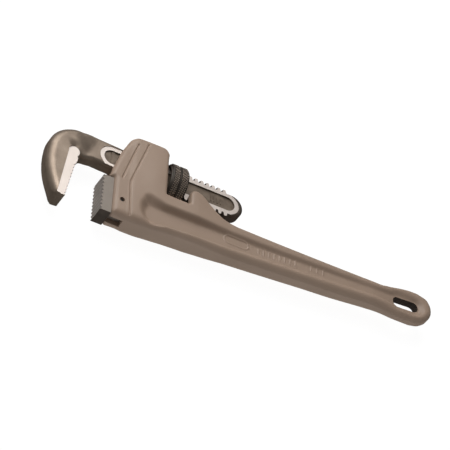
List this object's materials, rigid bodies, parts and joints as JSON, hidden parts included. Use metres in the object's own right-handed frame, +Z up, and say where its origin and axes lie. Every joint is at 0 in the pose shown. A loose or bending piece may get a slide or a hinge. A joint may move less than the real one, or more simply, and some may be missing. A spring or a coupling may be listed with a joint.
{
  "type": "pipe wrench",
  "caption": "Straight pipe wrench on its side: toothed hook jaw on a threaded shank, knurled adjusting nut, toothed heel jaw, and a long I-section handle with a hang hole.",
  "frame": {"origin": "middle of the footprint of the wrench lying on its side with the jaws as shown, at the height of the adjusting nut's lowest point", "axes": "+X along the handle from the jaws to the hang hole, +Y from the underside of the handle to the back of the housing, +Z up, square to the wrench's side"},
  "size_m": [0.4345, 0.1058, 0.0426],
  "materials": {
    "handle_coating": "satin taupe coating over a smooth ductile-iron casting",
    "heel_jaw_steel": "hardened steel, plain satin sides and bright-edged cut teeth",
    "pin_steel": "dark drive pin",
    "hook_jaw_steel": "dark bronze-brown forged steel, satin, with bright milled flats",
    "nut_steel": "black oxide, diamond knurl",
    "spring_steel": "blued spring steel",
    "rivet_steel": "plain steel"
  },
  "bodies": {
    "handle": {"handle": "handle_coating", "heel_jaw": "heel_jaw_steel", "heel_jaw_pin": "pin_steel", "coil_spring": "spring_steel"},
    "leaf": {"flat_spring": "spring_steel", "spring_rivet": "rivet_steel"},
    "nut": {"adjusting_nut": "nut_steel"},
    "hook": {"hook_jaw": "hook_jaw_steel"}
  },
  "joints": [
    {"name": "jaw_rock", "type": "hinge", "parent": "handle", "child": "leaf", "pos_m": [-0.08135, 0.0208, 0.0213], "axis": [0, 0, 1], "range_deg": [0, 3], "stiffness_Nm_per_rad": 12, "deforming": ["coil_spring"]},
    {"name": "nut_turn", "type": "hinge", "parent": "leaf", "child": "nut", "pos_m": [-0.08135, 0.0208, 0.0213], "axis": [1, 0, 0], "range_deg": [-1530, 2160]},
    {"name": "hook_slide", "type": "slide", "parent": "leaf", "child": "hook", "axis": [1, 0, 0], "range_m": [-0.03809, 0.02697]}
  ],
  "couplings": [
    {"joint": "nut_turn", "follows": "hook_slide", "rad_per_m": -989.48}
  ]
}
